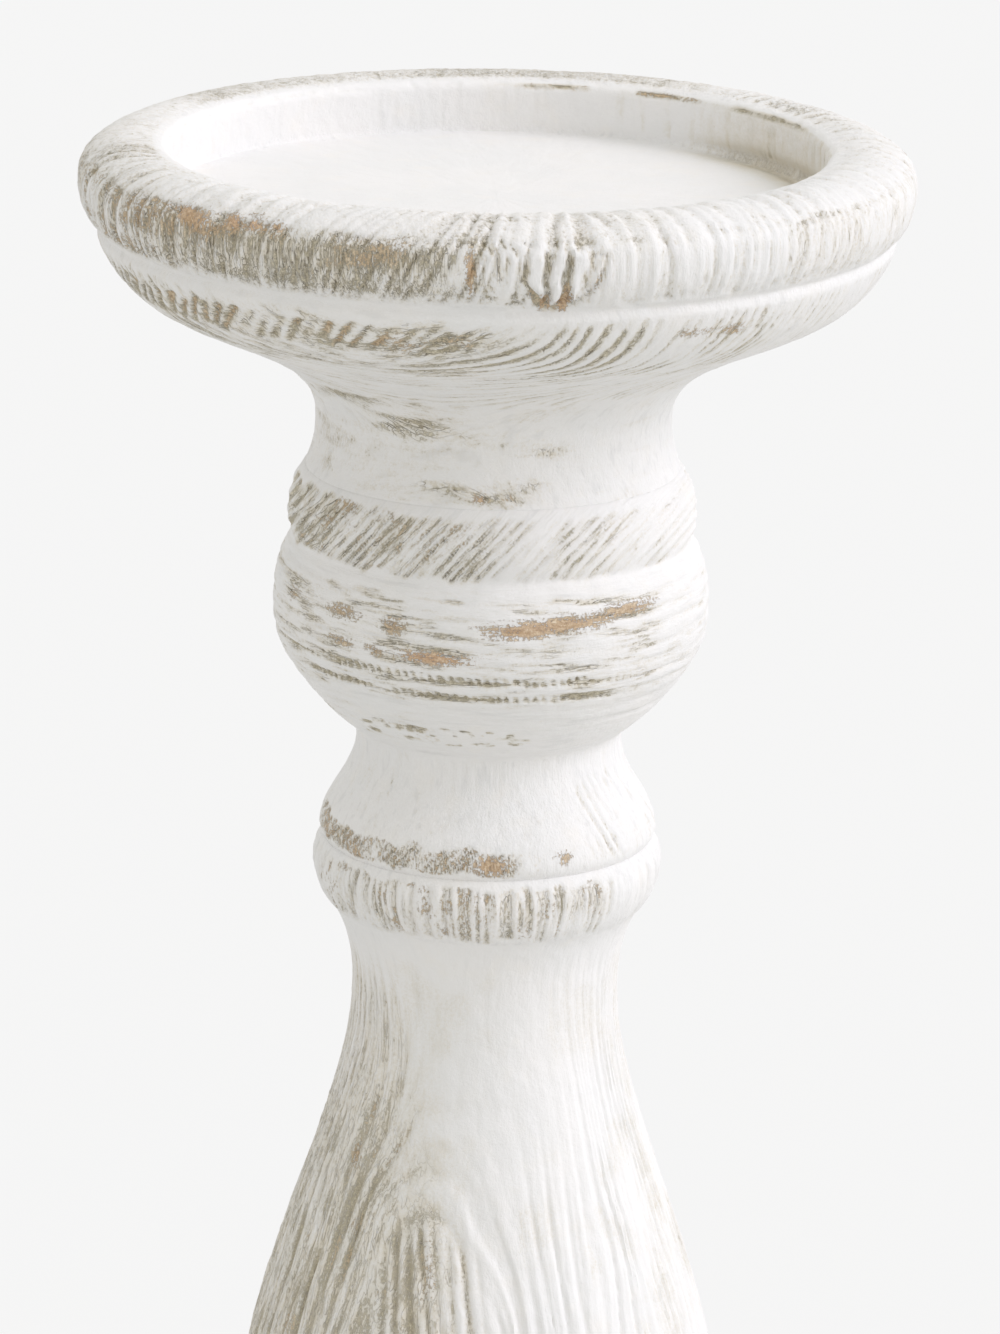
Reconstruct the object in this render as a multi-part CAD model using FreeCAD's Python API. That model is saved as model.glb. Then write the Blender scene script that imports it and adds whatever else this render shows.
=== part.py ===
"""Turned wooden candlestick for a pillar candle, built as the real one is made.

Four turned blocks stand on one axis, +Z: base, baluster, upper stem and candle dish. Two glued dowels
join the upper blocks, a turned tenon and a screw from below hold the base, and four felt pads carry it.
Millimetres. The origin is on the table, at the middle of the base.
"""

import FreeCAD, Part
import math
import os

Vector = FreeCAD.Vector
ORIGIN = Vector(0, 0, 0)
UP = Vector(0, 0, 1)

# Heights of the table side, of the joints between the turned blocks, and of the rim's crest
FELT_THICKNESS = 2.0
BASE_BOTTOM = FELT_THICKNESS
BASE_TOP = 45.0
BALUSTER_TOP = 196.4
STEM_TOP = 252.3
TOTAL_HEIGHT = 300.0

# Largest and smallest radii, from the top down
DISH_RADIUS = 60.0
CREST_RADIUS = 54.2
COVE_RADIUS = 25.75
COLLAR_RADIUS = 29.8
BULB_RADIUS = 31.8
STEM_NECK_RADIUS = 19.4
CUSHION_RADIUS = 24.9
RING_RADIUS = 25.8
NECK_RADIUS = 19.7
BELLY_RADIUS = 37.4
ANKLE_RADIUS = 22.0
BEAD_RADIUS = 27.4
BASE_NECK_RADIUS = 24.6
BASE_RADIUS = 58.5

# Radii where two blocks meet
DISH_FOOT_RADIUS = 27.2
STEM_FOOT_RADIUS = 24.2
BALUSTER_FOOT_RADIUS = 23.9

# Height of the widest part of the belly
BELLY_HEIGHT = 97.1

# Recess that the candle stands in, with a small rounded lip
RECESS_RADIUS = 47.0
RECESS_DEPTH = 8.4
LIP_ROUND = 1.0
LIP_DROP = 0.8

# Dowels between the blocks, with room for glue around them and at both ends
DOWEL_RADIUS = 6.0
DOWEL_LENGTH = 40.0
DOWEL_CHAMFER = 1.0
FLUTES = 12
FLUTE_RADIUS = 0.6
GLUE_GAP = 0.05
END_GAP = 0.5

# Tenon turned on the foot of the baluster
TENON_RADIUS = 11.0
TENON_LENGTH = 16.0

# Screw and washer in the underside of the base
COUNTERBORE_RADIUS = 11.0
COUNTERBORE_DEPTH = 9.0
SCREW_RADIUS = 3.0
SCREW_LENGTH = 64.0
SCREW_TIP = 7.0
SCREW_GAP = 0.05
SHANK_HOLE_RADIUS = 3.4
HEAD_RADIUS = 6.0
HEAD_FLAT_RADIUS = 3.3
HEAD_HEIGHT = 3.6
DRIVE_DEPTH = 2.2
DRIVE_WIDTH = 1.1
DRIVE_SPAN = 6.0
WASHER_RADIUS = 9.0
WASHER_HOLE_RADIUS = 3.3
WASHER_THICKNESS = 1.5

# Felt pads under the base
PAD_COUNT = 4
PAD_RADIUS = 9.0
PAD_CIRCLE_RADIUS = 42.0


def at(radius, height):
    """A point of an outline, in the half plane that is turned round the axis."""
    return Vector(radius, 0, height)


def line(*points):
    """Straight edges through the points, in order."""
    return [Part.LineSegment(a, b).toShape() for a, b in zip(points, points[1:])]


def arc(start, middle, end):
    """One round edge through three points."""
    return [Part.Arc(start, middle, end).toShape()]


def curve(*points):
    """One smooth edge through the points, in order."""
    spline = Part.BSplineCurve()
    spline.interpolate(list(points))
    return [spline.toShape()]


def turned(*stretches):
    """The solid that a closed outline sweeps round the axis."""
    edges = [edge for stretch in stretches for edge in stretch]
    face = Part.Face(Part.Wire(edges))
    return Part.Solid(face.revolve(ORIGIN, UP, 360))


def cylinder(radius, bottom, top):
    """An upright cylinder on the axis."""
    return Part.makeCylinder(radius, top - bottom, Vector(0, 0, bottom))


def round_place(radius, index, count, height):
    """One of several points spread evenly round the axis."""
    turn = 2 * math.pi * index / count
    return Vector(radius * math.cos(turn), radius * math.sin(turn), height)


def dowel_socket(joint_height, direction):
    """The hole that half a dowel is glued into, up (1) or down (-1) from a joint."""
    depth = DOWEL_LENGTH / 2 + END_GAP
    bottom = joint_height if direction > 0 else joint_height - depth
    return cylinder(DOWEL_RADIUS + GLUE_GAP, bottom, bottom + depth)


def screw_seat():
    """Height of the counterbore's inner face, which the washer bears on."""
    return BASE_BOTTOM + COUNTERBORE_DEPTH


def candle_dish():
    """Wide dish with a rounded rim, a groove under it, and an ogee down to the stem."""
    crest = TOTAL_HEIGHT
    floor = crest - RECESS_DEPTH
    lip_height = crest - LIP_DROP
    wall_top = at(RECESS_RADIUS, lip_height - LIP_ROUND)
    lip_middle = at(RECESS_RADIUS + 0.3 * LIP_ROUND, lip_height - 0.3 * LIP_ROUND)
    lip = at(RECESS_RADIUS + LIP_ROUND, lip_height)
    rim_foot = at(DISH_RADIUS - 2.3, crest - 11.7)
    groove = at(DISH_RADIUS - 3.4, crest - 12.2)
    shoulder = at(DISH_RADIUS - 2.7, crest - 13.5)
    foot = at(DISH_FOOT_RADIUS, STEM_TOP)
    solid = turned(
        line(at(0, floor), at(RECESS_RADIUS, floor), wall_top),
        arc(wall_top, lip_middle, lip),
        curve(
            lip,
            at(CREST_RADIUS, crest),
            at(DISH_RADIUS - 3.2, crest - 0.9),
            at(DISH_RADIUS - 0.6, crest - 3.0),
            at(DISH_RADIUS, crest - 5.7),
            at(DISH_RADIUS - 0.7, crest - 9.4),
            rim_foot,
        ),
        line(rim_foot, groove, shoulder),
        curve(
            shoulder,
            at(DISH_RADIUS - 4.0, crest - 16.4),
            at(DISH_RADIUS - 8.0, crest - 21.1),
            at(COVE_RADIUS + 18.2, STEM_TOP + 22.4),
            at(COVE_RADIUS + 9.7, STEM_TOP + 18.5),
            at(COVE_RADIUS + 3.4, STEM_TOP + 14.4),
            at(COVE_RADIUS + 0.4, STEM_TOP + 10.1),
            at(COVE_RADIUS, STEM_TOP + 5.9),
            foot,
        ),
        line(foot, at(0, STEM_TOP), at(0, floor)),
    )
    return solid.cut(dowel_socket(STEM_TOP, 1))


def upper_stem():
    """Collar, round bulb, short neck and the cushion that swells under it."""
    top = STEM_TOP
    collar_top = at(DISH_FOOT_RADIUS, top)
    collar_foot = at(COLLAR_RADIUS - 0.5, top - 9.8)
    collar_groove = at(COLLAR_RADIUS - 0.9, top - 10.4)
    bulb_top = at(COLLAR_RADIUS - 0.2, top - 11.0)
    bulb_foot = at(STEM_NECK_RADIUS + 0.2, top - 39.1)
    cushion_foot = at(CUSHION_RADIUS, BALUSTER_TOP + 1.1)
    foot = at(STEM_FOOT_RADIUS, BALUSTER_TOP)
    solid = turned(
        line(at(0, top), collar_top),
        curve(
            collar_top,
            at(COLLAR_RADIUS - 1.2, top - 1.9),
            at(COLLAR_RADIUS - 0.1, top - 5.3),
            at(COLLAR_RADIUS, top - 7.5),
            collar_foot,
        ),
        line(collar_foot, collar_groove, bulb_top),
        curve(
            bulb_top,
            at(BULB_RADIUS - 0.8, top - 14.1),
            at(BULB_RADIUS, top - 20.5),
            at(BULB_RADIUS - 0.8, top - 25.8),
            at(BULB_RADIUS - 3.3, top - 30.1),
            at(BULB_RADIUS - 6.6, top - 34.2),
            bulb_foot,
        ),
        curve(
            bulb_foot,
            at(STEM_NECK_RADIUS, top - 41.7),
            at(STEM_NECK_RADIUS + 0.7, top - 44.3),
            at(CUSHION_RADIUS - 3.0, BALUSTER_TOP + 8.0),
            at(CUSHION_RADIUS - 0.9, BALUSTER_TOP + 4.4),
            cushion_foot,
        ),
        line(cushion_foot, foot, at(0, BALUSTER_TOP), at(0, top)),
    )
    return solid.cut(dowel_socket(STEM_TOP, -1)).cut(dowel_socket(BALUSTER_TOP, 1))


def baluster():
    """Ring, long neck, pear-shaped belly and ankle bead, with the tenon turned below."""
    top = BALUSTER_TOP
    ring_top = at(STEM_FOOT_RADIUS, top)
    ring_shoulder = at(RING_RADIUS - 0.7, top - 1.0)
    ring_foot = at(NECK_RADIUS + 3.0, top - 10.5)
    ankle = at(ANKLE_RADIUS, BASE_TOP + 11.8)
    foot = at(BALUSTER_FOOT_RADIUS, BASE_TOP)
    tenon_end = BASE_TOP - TENON_LENGTH
    solid = turned(
        line(at(0, top), ring_top, ring_shoulder),
        curve(
            ring_shoulder,
            at(RING_RADIUS, top - 4.0),
            at(RING_RADIUS - 0.5, top - 6.5),
            at(RING_RADIUS - 1.5, top - 8.7),
            ring_foot,
        ),
        curve(
            ring_foot,
            at(NECK_RADIUS + 1.3, top - 14.2),
            at(NECK_RADIUS + 0.3, top - 18.4),
            at(NECK_RADIUS, top - 23.2),
            at(NECK_RADIUS + 0.4, top - 29.5),
            at(NECK_RADIUS + 2.1, top - 37.7),
            at(BELLY_RADIUS - 12.0, BELLY_HEIGHT + 49.6),
            at(BELLY_RADIUS - 7.9, BELLY_HEIGHT + 37.6),
            at(BELLY_RADIUS - 4.1, BELLY_HEIGHT + 25.1),
            at(BELLY_RADIUS - 1.2, BELLY_HEIGHT + 12.0),
            at(BELLY_RADIUS, BELLY_HEIGHT),
            at(BELLY_RADIUS - 1.1, BELLY_HEIGHT - 12.9),
            at(BELLY_RADIUS - 5.3, BELLY_HEIGHT - 24.4),
            at(BELLY_RADIUS - 11.4, BELLY_HEIGHT - 33.6),
            ankle,
        ),
        curve(
            ankle,
            at(BEAD_RADIUS - 1.6, BASE_TOP + 9.4),
            at(BEAD_RADIUS, BASE_TOP + 5.8),
            at(BEAD_RADIUS - 0.8, BASE_TOP + 2.4),
            foot,
        ),
        line(
            foot,
            at(TENON_RADIUS, BASE_TOP),
            at(TENON_RADIUS, tenon_end),
            at(0, tenon_end),
            at(0, top),
        ),
    )
    pilot_top = screw_seat() + SCREW_LENGTH + END_GAP
    pilot = cylinder(SCREW_RADIUS + SCREW_GAP, tenon_end, pilot_top)
    return solid.cut(dowel_socket(BALUSTER_TOP, -1)).cut(pilot)


def base():
    """Wide foot with a rounded edge, mortised on top and counterbored underneath."""
    neck = at(BASE_NECK_RADIUS, BASE_TOP)
    shoulder = at(BASE_RADIUS - 3.7, BASE_BOTTOM + 18.4)
    groove = at(BASE_RADIUS - 4.3, BASE_BOTTOM + 17.2)
    edge_top = at(BASE_RADIUS - 3.2, BASE_BOTTOM + 16.6)
    edge_foot = at(BASE_RADIUS - 3.5, BASE_BOTTOM)
    solid = turned(
        line(at(0, BASE_TOP), neck),
        curve(
            neck,
            at(BASE_NECK_RADIUS + 1.8, BASE_TOP - 5.1),
            at(BASE_NECK_RADIUS + 6.8, BASE_TOP - 10.2),
            at(BASE_RADIUS - 18.5, BASE_TOP - 14.6),
            at(BASE_RADIUS - 9.5, BASE_TOP - 18.4),
            shoulder,
        ),
        line(shoulder, groove, edge_top),
        curve(
            edge_top,
            at(BASE_RADIUS - 1.0, BASE_BOTTOM + 13.6),
            at(BASE_RADIUS, BASE_BOTTOM + 8.2),
            at(BASE_RADIUS - 0.9, BASE_BOTTOM + 3.0),
            edge_foot,
        ),
        line(edge_foot, at(0, BASE_BOTTOM), at(0, BASE_TOP)),
    )
    mortise_floor = BASE_TOP - TENON_LENGTH - END_GAP
    seat = screw_seat()
    solid = solid.cut(cylinder(TENON_RADIUS + GLUE_GAP, mortise_floor, BASE_TOP))
    solid = solid.cut(cylinder(SHANK_HOLE_RADIUS, seat, mortise_floor))
    return solid.cut(cylinder(COUNTERBORE_RADIUS, BASE_BOTTOM, seat))


def dowel(joint_height):
    """Chamfered dowel with glue flutes, half in the block above the joint and half below."""
    bottom = joint_height - DOWEL_LENGTH / 2
    top = joint_height + DOWEL_LENGTH / 2
    small = DOWEL_RADIUS - DOWEL_CHAMFER
    solid = turned(
        line(
            at(0, bottom),
            at(small, bottom),
            at(DOWEL_RADIUS, bottom + DOWEL_CHAMFER),
            at(DOWEL_RADIUS, top - DOWEL_CHAMFER),
            at(small, top),
            at(0, top),
            at(0, bottom),
        )
    )
    for i in range(FLUTES):
        place = round_place(DOWEL_RADIUS, i, FLUTES, bottom)
        solid = solid.cut(Part.makeCylinder(FLUTE_RADIUS, DOWEL_LENGTH, place))
    return solid


def base_screw():
    """Pan-head wood screw with a cross recess, pointing up from the counterbore."""
    head_top = screw_seat() - WASHER_THICKNESS
    head_bottom = head_top - HEAD_HEIGHT
    tip = screw_seat() + SCREW_LENGTH
    head_edge = at(HEAD_RADIUS, head_top)
    head_flat = at(HEAD_FLAT_RADIUS, head_bottom)
    head_middle = at(0.9 * HEAD_RADIUS, head_bottom + 0.36 * HEAD_HEIGHT)
    solid = turned(
        line(at(0, head_bottom), head_flat),
        arc(head_flat, head_middle, head_edge),
        line(
            head_edge,
            at(SCREW_RADIUS, head_top),
            at(SCREW_RADIUS, tip - SCREW_TIP),
            at(0, tip),
            at(0, head_bottom),
        ),
    )
    for width, depth in ((DRIVE_SPAN, DRIVE_WIDTH), (DRIVE_WIDTH, DRIVE_SPAN)):
        corner = Vector(-width / 2, -depth / 2, head_bottom)
        solid = solid.cut(Part.makeBox(width, depth, DRIVE_DEPTH, corner))
    return solid


def screw_washer():
    """Flat washer between the screw's head and the wood."""
    top = screw_seat()
    bottom = top - WASHER_THICKNESS
    hole = cylinder(WASHER_HOLE_RADIUS, bottom, top)
    return cylinder(WASHER_RADIUS, bottom, top).cut(hole)


def felt_pad(index):
    """One round felt pad, stuck to the underside of the base."""
    place = round_place(PAD_CIRCLE_RADIUS, index + 0.5, PAD_COUNT, 0)
    return Part.makeCylinder(PAD_RADIUS, FELT_THICKNESS, place)


def all_nodes():
    """Every sub-part by name."""
    nodes = {
        "candle_dish": candle_dish(),
        "upper_stem": upper_stem(),
        "baluster": baluster(),
        "base": base(),
        "dish_dowel": dowel(STEM_TOP),
        "stem_dowel": dowel(BALUSTER_TOP),
        "base_screw": base_screw(),
        "screw_washer": screw_washer(),
    }
    for i in range(PAD_COUNT):
        nodes[f"felt_pad_{i + 1}"] = felt_pad(i)
    return nodes


os.makedirs("parts", exist_ok=True)
for name, shape in all_nodes().items():
    assert shape.isValid() and len(shape.Solids) == 1, name
    shape.exportStep(f"parts/{name}.step")
    print(name, round(shape.Volume / 1000, 2), "cm3")
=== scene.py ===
"""Looks of the turned wooden candlestick: brushed wood under a thick, rubbed-through white wash.

The four turned blocks are rebuilt as dense meshes on the CAD outlines, with the brushed grain cut into
them. Lengths here are millimetres unless a name says otherwise, and MM turns them into metres.
Angles round the axis are measured from the front (-Y), positive towards +X.
"""

import itertools
import math

import bmesh
import bpy
import numpy as np
from mathutils import Matrix, Vector


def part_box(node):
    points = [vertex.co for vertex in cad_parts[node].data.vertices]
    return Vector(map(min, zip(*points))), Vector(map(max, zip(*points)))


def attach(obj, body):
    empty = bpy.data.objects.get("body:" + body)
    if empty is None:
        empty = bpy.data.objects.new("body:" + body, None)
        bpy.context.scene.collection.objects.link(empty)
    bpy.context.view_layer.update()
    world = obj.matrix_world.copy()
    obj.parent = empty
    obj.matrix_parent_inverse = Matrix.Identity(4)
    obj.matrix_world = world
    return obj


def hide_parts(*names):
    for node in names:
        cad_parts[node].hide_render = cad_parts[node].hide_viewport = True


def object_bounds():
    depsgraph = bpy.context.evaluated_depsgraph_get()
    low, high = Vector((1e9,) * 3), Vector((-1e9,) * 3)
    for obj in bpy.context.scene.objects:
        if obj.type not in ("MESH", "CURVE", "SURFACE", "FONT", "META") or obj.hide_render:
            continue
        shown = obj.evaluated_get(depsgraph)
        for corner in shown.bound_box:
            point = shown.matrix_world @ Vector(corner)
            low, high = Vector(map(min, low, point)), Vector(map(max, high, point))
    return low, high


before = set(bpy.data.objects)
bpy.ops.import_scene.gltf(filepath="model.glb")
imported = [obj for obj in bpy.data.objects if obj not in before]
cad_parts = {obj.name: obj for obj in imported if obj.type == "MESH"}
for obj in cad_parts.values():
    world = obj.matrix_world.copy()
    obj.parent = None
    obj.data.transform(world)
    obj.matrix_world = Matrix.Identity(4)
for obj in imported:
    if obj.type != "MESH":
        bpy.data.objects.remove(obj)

cad_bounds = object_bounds()
MM = 0.001

# Spacing of the mesh on the visible wood, on plain flat faces, and on faces hidden near the axis
FINE = 0.4
MEDIUM = 1.2
COARSE = 4.0
HIDDEN_RADIUS = 18

# The dish's recess, and the fade of the relief at a block's end
RECESS_RADIUS = 47.0
RECESS_FLOOR = 291.6
JOINT_FADE = 1.4

# Heights of the creases between the turned parts
RIM_CREASE = 287.8
COLLAR_CREASE = 241.9
BULB_CREASE = 213.2
RING_CREASE = 185.9
ANKLE_CREASE = 56.8
FOOT_CREASE = 19.2

# Camera
CAMERA_PLACE = (1.5, -843.0, 467.15)
CAMERA_PITCH_DEG = 16.252
CAMERA_ROLL_DEG = 0.95
CAMERA_LENS = 161.92


# -------- random fields

PRIMES = (374761393, 668265263, 1103515245, 982451653)
WORD = 0xFFFFFFFF


def scrambled(code):
    """A repeatable number from 0 to 1 for each whole number."""
    code = code & WORD
    code = ((code ^ (code >> 13)) * 1274126177) & WORD
    return ((code ^ (code >> 16)) & 0xFFFFFF) / 0xFFFFFF


def noise(coords, seed, period=0):
    """A smooth random field from -1 to 1 with cells one unit wide. The first coordinate may repeat."""
    cells = [np.floor(c).astype(np.int64) for c in coords]
    fades = []
    for coord, cell in zip(coords, cells):
        t = coord - cell
        fades.append(t * t * t * (t * (t * 6 - 15) + 10))
    total = 0.0
    for corner in itertools.product((0, 1), repeat=len(coords)):
        code = seed * 1442695041
        weight = 1.0
        for axis, step in enumerate(corner):
            index = cells[axis] + step
            if axis == 0 and period:
                index = index % period
            code = code + index * PRIMES[axis]
            weight = weight * (fades[axis] if step else 1 - fades[axis])
        total = total + weight * scrambled(code)
    return 2 * total - 1


def fractal(coords, seed, period=0, octaves=3):
    """Noise with finer noise added to it, from about -1 to 1."""
    total, reach, gain = 0.0, 0.0, 1.0
    for octave in range(octaves):
        scaled = [c * 2**octave for c in coords]
        total = total + gain * noise(scaled, seed + 31 * octave, period * 2**octave)
        reach += gain
        gain *= 0.55
    return total / reach * 1.3


def ramp(low, high, x):
    """0 at low, 1 at high, and smooth between; low may be the larger."""
    t = np.clip((x - low) / (high - low), 0, 1)
    return t * t * (3 - 2 * t)


def between(low, high, soft, x):
    """1 from low to high, fading out over soft on both sides."""
    return ramp(low - soft, low, x) * ramp(high + soft, high, x)


# -------- turned outlines

SLICE_TURN = 1e-4
WELD_M = 2e-6
CORNER_DEG = 22.0


def sliced_chains(node):
    """The closed chains of points, in metres, where the plane y=0 cuts a CAD node.

    The copy is turned a hair first, so that the plane doesn't run along the mesh's own seam."""
    bm = bmesh.new()
    bm.from_mesh(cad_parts[node].data)
    bmesh.ops.remove_doubles(bm, verts=bm.verts, dist=WELD_M)
    turn = Matrix.Rotation(SLICE_TURN, 3, "Z")
    bmesh.ops.rotate(bm, verts=bm.verts, cent=(0, 0, 0), matrix=turn)
    geometry = bm.verts[:] + bm.edges[:] + bm.faces[:]
    cut = bmesh.ops.bisect_plane(bm, geom=geometry, dist=1e-9, plane_co=(0, 0, 0), plane_no=(0, 1, 0))
    links = {}
    for edge in cut["geom_cut"]:
        if isinstance(edge, bmesh.types.BMEdge):
            a, b = edge.verts
            links.setdefault(a, []).append(b)
            links.setdefault(b, []).append(a)
    chains = []
    while links:
        here = next(iter(links))
        chain = []
        while here is not None:
            chain.append((here.co.x, here.co.z))
            nearby = links.pop(here)
            here = next((v for v in nearby if v in links), None)
        chains.append(np.array(chain))
    bm.free()
    return chains


def half_section(node):
    """A turned CAD node's outline as (radius, height) rows, running outwards from the top and down.

    It starts and ends on the axis, or is a closed ring whose last row repeats the first."""
    chain = max(sliced_chains(node), key=lambda points: points[:, 0].max()) / MM
    if chain[:, 0].min() > 0:
        start = int(np.argmax(chain[:, 1] - 0.001 * chain[:, 0]))
        chain = np.roll(chain, -start, axis=0)
        chain = np.vstack([chain, chain[:1]])
        area = np.sum(chain[:-1, 0] * chain[1:, 1] - chain[1:, 0] * chain[:-1, 1])
        return chain[::-1] if area > 0 else chain
    right = chain[:, 0] > 0.01
    first = int(np.argmax(right & ~np.roll(right, 1)))
    chain = np.roll(chain, -first, axis=0)[: int(right.sum())]
    if chain[0, 1] < chain[-1, 1]:
        chain = chain[::-1]
    return np.vstack([[0, chain[0, 1]], chain, [0, chain[-1, 1]]])


def corner_rows(outline):
    """Indices of the outline's ends and sharp corners."""
    steps = np.diff(outline, axis=0)
    heading = np.unwrap(np.arctan2(steps[:, 1], steps[:, 0]))
    turns = np.abs(np.diff(heading))
    inner = np.flatnonzero(turns > math.radians(CORNER_DEG)) + 1
    return [0, *inner.tolist(), len(outline) - 1]


def spacing(r, z):
    """The mesh's step at a radius and height."""
    if r < HIDDEN_RADIUS:
        return COARSE
    plain = z < 3 or (r < 40 and z > 291)
    return MEDIUM if plain else FINE


def resampled(outline):
    """The outline in even steps that keep its corners."""
    rows = []
    corners = corner_rows(outline)
    for first, last in zip(corners, corners[1:]):
        run = outline[first : last + 1]
        distance = np.r_[0, np.cumsum(np.hypot(*np.diff(run, axis=0).T))]
        middle = run.mean(axis=0)
        count = max(1, round(distance[-1] / spacing(*middle)))
        wanted = np.linspace(0, distance[-1], count + 1)[:-1]
        rows.append(np.column_stack([np.interp(wanted, distance, run[:, i]) for i in (0, 1)]))
    rows.append(outline[-1:])
    return np.vstack(rows)


def filleted(rows, corner, radius):
    """The rows with the corner nearest to a point rounded to about a radius."""
    middle = int(np.argmin(np.hypot(*(rows - corner).T)))
    run = np.r_[0, np.cumsum(np.hypot(*np.diff(rows, axis=0).T))]
    away = run - run[middle]
    before, after = (np.array([np.interp(d, away, rows[:, i]) for i in (0, 1)]) for d in (-radius, radius))
    t = (np.clip(away / radius, -1, 1)[:, None] + 1) / 2
    bend = (1 - t) ** 2 * before + 2 * t * (1 - t) * rows[middle] + t**2 * after
    return np.where(np.abs(away)[:, None] < radius, bend, rows)


def eased(rows, passes=4):
    """The rows with their facets and small corners rounded off, as a coat of paint does."""
    rows = rows.copy()
    steps = np.hypot(*np.diff(rows, axis=0).T)
    fine = np.r_[False, np.maximum(steps[:-1], steps[1:]) < 2 * FINE, False][:, None]
    for _ in range(passes):
        average = rows.copy()
        average[1:-1] = (rows[:-2] + 2 * rows[1:-1] + rows[2:]) / 4
        rows = np.where(fine, average, rows)
    return rows


# -------- painted, brushed wood

# Fields painted on the mesh for the material; dirt holds dirt and also painted shade in the recess.
WEAR_AND_SHADE = ("dirt", "bare", "warm", "hairy")


class Skin:
    """The surface of a turned block as a grid, with its relief, its wear and some painted shade.

    height is the relief along the normal, dirt the grey-brown that shows in hollows together with the painted
    shade in the recess's right-hand corner, bare the wood that shows where the wash is rubbed off, and warm
    its tint. grain is the stretched space of the streaks, and hairy says where they show."""

    def __init__(self, node, fillet):
        outline = eased(resampled(half_section(node)))
        if fillet:
            outline = filleted(outline, *fillet)
        columns = int(math.tau * outline[:, 0].max() / FINE)
        steps = np.hypot(*np.diff(outline, axis=0).T)
        coarsest = np.maximum(np.r_[steps, steps[-1]], np.r_[steps[0], steps])
        self.node = node
        self.outline = outline
        self.closed = outline[0, 0] > 0
        self.angle = (np.arange(columns) / columns - 0.5) * math.tau
        self.phi = np.degrees(self.angle)[None, :]
        self.turn = (self.angle / math.tau)[None, :]
        self.r = outline[:, :1]
        self.z = outline[:, 1:]
        self.run = np.r_[0, np.cumsum(steps)][:, None]
        self.shown = (coarsest < (MEDIUM + COARSE) / 2)[:, None]
        self.x = self.r * np.sin(self.angle)
        self.y = -self.r * np.cos(self.angle)
        self.flat = np.zeros(self.x.shape)
        self.height, self.dirt, self.bare = (self.flat.copy() for _ in range(3))
        self.warm = self.flat + 0.25
        self.hairy = self.flat + 1
        self.grain = [self.x.copy(), self.y.copy(), self.z + self.flat]

    def cut(self, amount, weight, depth, dirt=0.0):
        """Sinks the surface by depth where amount is 1, and darkens it."""
        self.height -= amount * weight * depth
        self.dirt += amount * weight * dirt

    def set_grain(self, where, directions):
        """Uses another stretched space for the fine streaks, which fade out in the rows where it changes."""
        for own, new in zip(self.grain, directions):
            own[...] = np.where(where, new, own)
        where = np.broadcast_to(where, self.x.shape)
        change = where[1:] != where[:-1]
        self.hairy[1:][change] = 0
        self.hairy[:-1][change] = 0

    def rub(self, amount, bare, dirt=0.0, warm=0.0):
        """Rubs the wash off down to the wood where amount is 1."""
        self.bare += amount * bare
        self.dirt += amount * dirt
        self.warm += amount * warm

    def planes(self, pith_deg, warp):
        """Depth towards an angle, bent by the warp, and the distance across it."""
        away = np.radians(self.phi - pith_deg)
        return self.r * np.cos(away) + warp, self.r * np.sin(away)

    def spot(self, phi, z, half_phi, half_z):
        """A soft oval around an angle in degrees and a height."""
        away = (self.phi - phi + 180) % 360 - 180
        square = (away / half_phi) ** 2 + ((self.z - z) / half_z) ** 2
        return np.exp(-square)

    def spots(self, *places):
        """Soft ovals added up, each given as for spot."""
        return sum(self.spot(*place) for place in places)

    def sector(self, low, high, soft):
        """1 between two angles in degrees, fading out over soft on both sides."""
        middle = (low + high) / 2
        away = np.abs((self.phi - middle + 180) % 360 - 180)
        return ramp((high - low) / 2 + soft, (high - low) / 2, away)

    def band(self, low, high, soft=1.0, ragged=0.7, least=0.0):
        """1 between two heights, with ragged ends, where the radius is over the least one."""
        shift = ragged * noise([self.x / 2.6, self.y / 2.6], int(10 * low))
        return between(low, high, soft, self.z + shift) * (self.r > least)

    def stretches(self, count, seed, low, high):
        """Random stretches round the block from 0 to 1, with about count cells in a turn."""
        return ramp(low, high, noise([self.turn * count], seed, count))

    def strokes(self, count, seed, slide=0.0, **look):
        """Grooves down the block's outline, count of them in a turn, slid sideways by a phase."""
        return furrows(self.turn * count + slide, [self.run], seed, count, **look)

    def patches(self, wide, tall, seed, low=-0.2, high=0.5):
        """Irregular patches from 0 to 1, of about the width and height given."""
        return ramp(low, high, fractal([self.x / wide, self.y / wide, self.z / tall], seed))


def furrows(phase, along, seed, period=0, wander=0.35, width=0.24, broken=0.07, cover=0.0):
    """Grooves on the whole numbers of phase: 0 between them, 1 in the bottom. They wander and break off."""
    drift = [c * 0.09 for c in along]
    breaks = [c * broken for c in along]
    shifted = phase + wander * noise([phase * 0.5, *drift], seed, period // 2)
    index = np.round(shifted)
    reach = np.abs(shifted - index)
    wide = width * (1 + 0.5 * noise([index + 0.4, *drift], seed + 1, period))
    deep = ramp(-0.5, 0.6, noise([index + 0.6, *breaks], seed + 2, period) + cover)
    return deep * np.exp(-((reach / wide) ** 2))


def streaks(grain, size, seed, octaves=3):
    """Irregular fine streaks from 0 to 1, stretched as the grain space is."""
    return ramp(-0.1, 0.75, fractal([c / size for c in grain], seed, octaves=octaves))


def lumpy(skin, seed):
    """The unevenness of a thick brushed coat."""
    place = [skin.x, skin.y, skin.z + skin.flat]
    skin.height += 0.08 * fractal([c / 3.2 for c in place], seed)
    skin.height += 0.035 * fractal([c / 0.9 for c in place], seed + 5, octaves=2)


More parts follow.
